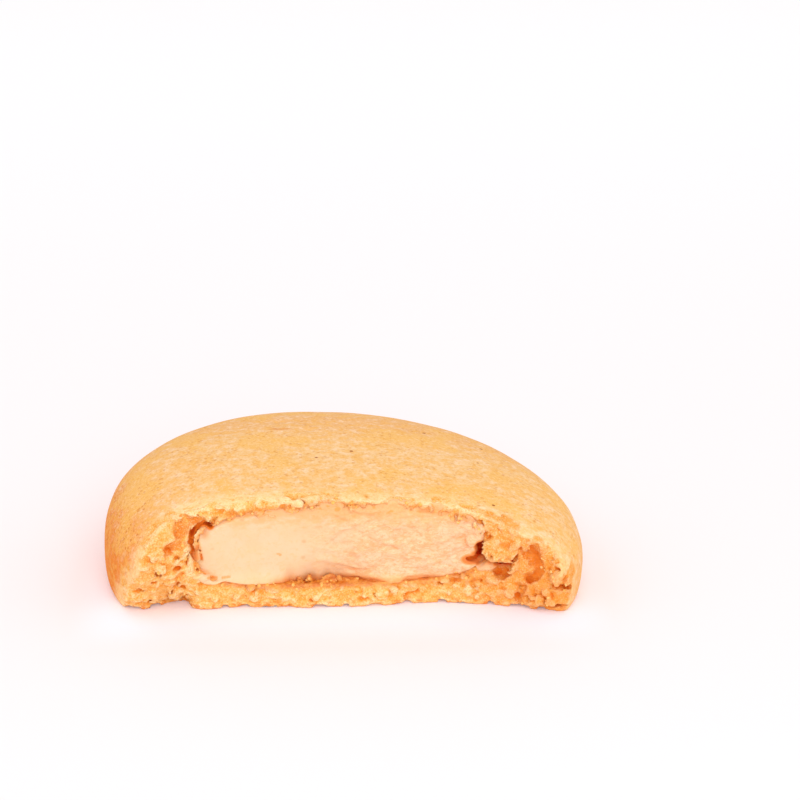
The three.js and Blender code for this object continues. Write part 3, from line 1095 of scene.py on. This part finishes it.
def filling_finish():
    """Set cream cheese, with peach-coloured seams and a few spice specks."""
    f = Finish("cream_filling")
    height, across = f.along("Z"), f.along("X")
    cloudy = f.noise(3.5, 3.0)
    right = f.ramp(across + cloudy * 12, -2.0, 12.0)
    blush = f.ramp(f.noise(1.2, 3.0, 0.6, 1.4), 0.46, 0.66)
    wave = f.noise(1.1, 3.0, 0.6, 1.5) - 0.5
    flaked = f.ramp(f.noise(0.42, 3.0, 0.6, 1.9), 0.51, 0.62)
    rich = f.ramp(height + cloudy * 2.0 + f.noise(0.9, 3.0, 0.6, 1.8) * 6.0, 17.2, 19.8)
    dabs = f.ramp(f.noise(0.6, 3.0, 0.5, 1.6), 0.56, 0.66)
    dabs = dabs * f.ramp(height + cloudy * 2.0, 15.6, 17.4)
    under = f.ramp(height + cloudy * 0.8, 5.4, 4.2) * f.ramp(across, -12.0, -8.0)
    stain, hollow = f.noted("stain"), f.noted("hollow")
    # Painted shade in the cream's hollows, paler up under the roof.
    pit = f.blend(colour(242, 138, 40), colour(246, 166, 76), f.ramp(height, 13.0, 15.5))
    cream = f.painted(colour(236, 203, 165), [
        ((236, 200, 157), f.ramp(cloudy, 0.35, 0.65)),
        ((238, 194, 142), f.ramp(f.noise(0.7, 4.0, 0.65), 0.46, 0.72) * 0.65),
        ((238, 184, 128), blush * right * 0.6),
        ((228, 146, 88), f.ramp(wave * wave, 0.0012, 0.0) * right * 0.25),
        ((232, 158, 104), f.noted("seam") * 0.3),
        ((228, 162, 104), flaked * right * 0.5),
        ((244, 214, 170), f.ramp(f.noise(0.5, 3.0, 0.6, 1.9), 0.46, 0.36) * right * 0.6),
        ((238, 176, 106), rich * 0.6),
        ((240, 158, 66), dabs * 0.7),
        # painted shade along the cream's foot, under its hem
        ((250, 196, 130), f.ramp(height + cloudy * 1.5, 6.2, 4.6) * 0.5),
        ((242, 158, 80), under * 0.6),
        ((242, 202, 136), f.ramp(across, -20.3, -21.4) * 0.65),
        # the orange cracks, with painted shade at the crevice, seam, hook and right end
        ((236, 156, 78), f.ramp(stain, 0.1, 0.6) * 0.8),
        ((224, 110, 30), f.ramp(stain + hollow * 0.3, 0.6, 1.0) * 0.9),
        (pit, hollow * 0.8),
        # painted shade deep in the holes
        ((228, 82, 6), f.noted("deep")),
        # painted shade in the crevice
        (crevice_shade_colour(f), f.ramp(f.noted("crevice"), 0.05, 0.45)),
        ((206, 170, 122), f.ramp(f.spots(3.4), 0.14, 0.05) * 0.5),
    ])
    relief = f.noise(0.6, 3.0) * 0.6 + cloudy
    return f.finished(cream, 0.55, relief, depth=0.08, constants={
        "Subsurface Weight": 0.15,
        "Subsurface Radius": (1.0, 0.8, 0.6),
        "Subsurface Scale": 0.8 * MM,
        "Specular IOR Level": 0.25,
    })


def crumb_finish():
    """The same crumb, in mixed shades, with no pits."""
    f = Finish("loose_crumb")
    shades = crumb_colours(f, hollow=f.noise(1.6, 2.0) * 0.6, tone=0.5)
    relief = f.noise(0.3, 2.0)
    return f.finished(shades, 0.85, relief, depth=0.05, constants={"Specular IOR Level": 0.15})


def table_finish():
    f = Finish("white_table")
    across, back = f.along("X"), f.along("Y")
    # Painted light: the table is lighter towards the back, making up for the lamp's falloff.
    top = f.blend((0.96, 0.85, 0.835), (0.98, 0.968, 0.977), f.ramp(back, -50.0, 400.0))
    # Painted light: the patch before the broken face is whiter and faintly glows, taking out the
    # shadow there.
    before = f.ramp(back, -BREAK - 16.0, -BREAK) * f.ramp(back, 20.0, 0.0)
    before = before * f.ramp(across * across, 1700.0, 900.0)
    f.fill(f.shader.inputs["Emission Color"], f.blend((0.0, 0.0, 0.0), (0.6, 0.8, 1.0), before))
    return f.finished(f.blend(top, (0.98, 0.93, 1.0), before), 0.8, constants={
        "Specular IOR Level": 0.1,
        "Emission Strength": 0.1,
    })


def crumb_grain():
    """One crumb: a cube with each face cut in four, pulled out of round."""
    rng = np.random.default_rng(GRAIN_SEED)
    bpy.ops.mesh.primitive_cube_add(size=1.0)
    grain = bpy.context.object
    grain.name = "crumb_grain"
    cut = grain.modifiers.new("cut", "SUBSURF")
    cut.levels = cut.render_levels = 1
    apply_modifiers(grain)
    for vertex in grain.data.vertices:
        vertex.co = vertex.co.normalized() * 0.5 * rng.uniform(0.6, 1.3)
    grain.data.shade_smooth()
    return grain


def clinging_crumbs(dough, grain, finish):
    """Loose crumb that clings to the torn dough, scattered by Geometry Nodes."""
    tree = bpy.data.node_groups.new("cling", "GeometryNodeTree")
    face = tree.interface
    wanted = {
        "Crumbs per square metre": 3.0e5,
        "Smallest": 0.2 * MM,
        "Largest": 0.6 * MM,
        "Seed": 5,
    }
    face.new_socket("Geometry", in_out="INPUT", socket_type="NodeSocketGeometry")
    for name, value in wanted.items():
        kind = "NodeSocketInt" if isinstance(value, int) else "NodeSocketFloat"
        face.new_socket(name, in_out="INPUT", socket_type=kind)
    face.new_socket("Geometry", in_out="OUTPUT", socket_type="NodeSocketGeometry")

    def node(kind, settings=None, sockets=None):
        made = tree.nodes.new(kind)
        for key, setting in (settings or {}).items():
            setattr(made, key, setting)
        for key, value in (sockets or {}).items():
            if isinstance(value, bpy.types.NodeSocket):
                tree.links.new(value, made.inputs[key])
            else:
                made.inputs[key].default_value = value
        return made

    given = node("NodeGroupInput").outputs
    torn = node("GeometryNodeInputNamedAttribute", {"data_type": "FLOAT"}, {"Name": "torn"})
    points = node(
        "GeometryNodeDistributePointsOnFaces", {"distribute_method": "RANDOM"},
        {"Mesh": given["Geometry"], "Density": given["Crumbs per square metre"],
         "Selection": torn.outputs[0], "Seed": given["Seed"]})
    turn = node(
        "FunctionNodeRandomValue", {"data_type": "FLOAT_VECTOR"},
        {0: (0.0, 0.0, 0.0), 1: (math.tau, math.tau, math.tau), "Seed": given["Seed"]})
    size = node(
        "FunctionNodeRandomValue", {"data_type": "FLOAT"},
        {2: given["Smallest"], 3: given["Largest"], "Seed": given["Seed"]})
    source = node("GeometryNodeObjectInfo", None, {"Object": grain})
    placed = node(
        "GeometryNodeInstanceOnPoints", None,
        {"Points": points.outputs["Points"], "Instance": source.outputs["Geometry"],
         "Rotation": turn.outputs[0], "Scale": size.outputs[1]})
    real = node("GeometryNodeRealizeInstances", None, {0: placed.outputs[0]})
    sockets = {"Geometry": real.outputs[0], "Material": finish}
    painted = node("GeometryNodeSetMaterial", None, sockets)
    node("NodeGroupOutput", None, {0: painted.outputs[0]})

    host = linked("clinging_crumbs", dough.data.copy())
    cling = host.modifiers.new("cling", "NODES")
    cling.node_group = tree
    for item in face.items_tree:
        if item.in_out == "INPUT" and item.name in wanted:
            cling[item.identifier] = wanted[item.name]
    apply_modifiers(host)
    return host


def white_table():
    bpy.ops.mesh.primitive_plane_add(size=4.0, location=(0, 0, 0))
    table = bpy.context.object
    table.name = "table"
    table.data.materials.append(table_finish())
    return table


def soft_light(name, place, aim, size, power, tint):
    """A round soft lamp, turned to its aim; metres and watts."""
    lamp = bpy.data.lights.new(name, "AREA")
    lamp.shape = "DISK"
    lamp.size = size
    lamp.energy = power
    lamp.color = tint
    holder = linked(name, lamp)
    holder.location = place
    holder.rotation_euler = (Vector(aim) - Vector(place)).to_track_quat("-Z", "Y").to_euler()


def studio():
    scene = bpy.context.scene
    scene.view_settings.view_transform = "Standard"
    world = bpy.data.worlds.new("bright room")
    world.use_nodes = True
    background = world.node_tree.nodes["Background"]
    background.inputs["Color"].default_value = (1.0, 0.985, 0.975, 1.0)
    background.inputs["Strength"].default_value = 0.97
    scene.world = world
    soft_light(
        "window", place=(0.12, -0.85, 0.44), aim=(0, 0, 0), size=0.6, power=3.5,
        tint=(1.0, 0.99, 0.97))
    soft_light(
        "sky", place=(0.0, -0.1, 0.45), aim=(0, -0.04, 0), size=0.25, power=0.17,
        tint=(0.3, 0.45, 1.0))


def camera():
    """Looks down a little at the broken face from in front."""
    rise = math.radians(24.0)
    distance = 0.405
    below = math.radians(4.37)
    beside = math.radians(1.35)
    face = Vector((AXIS_X, AXIS_Y - BREAK, 0)) * MM
    data = bpy.data.cameras.new("camera")
    data.sensor_width = 36.0
    data.lens = 121.5
    data.clip_start = 0.01
    holder = linked("camera", data)
    holder.location = face + distance * Vector((0, -math.cos(rise), math.sin(rise)))
    holder.rotation_euler = (math.pi / 2 - rise + below, 0, -beside)
    bpy.context.scene.camera = holder


dough = make_dough()
filling = make_filling()
crumbs = clinging_crumbs(dough, crumb_grain(), crumb_finish())
bpy.data.objects.remove(bpy.data.objects["crumb_grain"])
dough.data.materials.append(dough_finish())
filling.data.materials.append(filling_finish())

table = white_table()
studio()
camera()

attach(dough, "root")
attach(filling, "root")
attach(crumbs, "root")
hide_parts("cookie_dough")
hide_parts("cheesecake_filling")
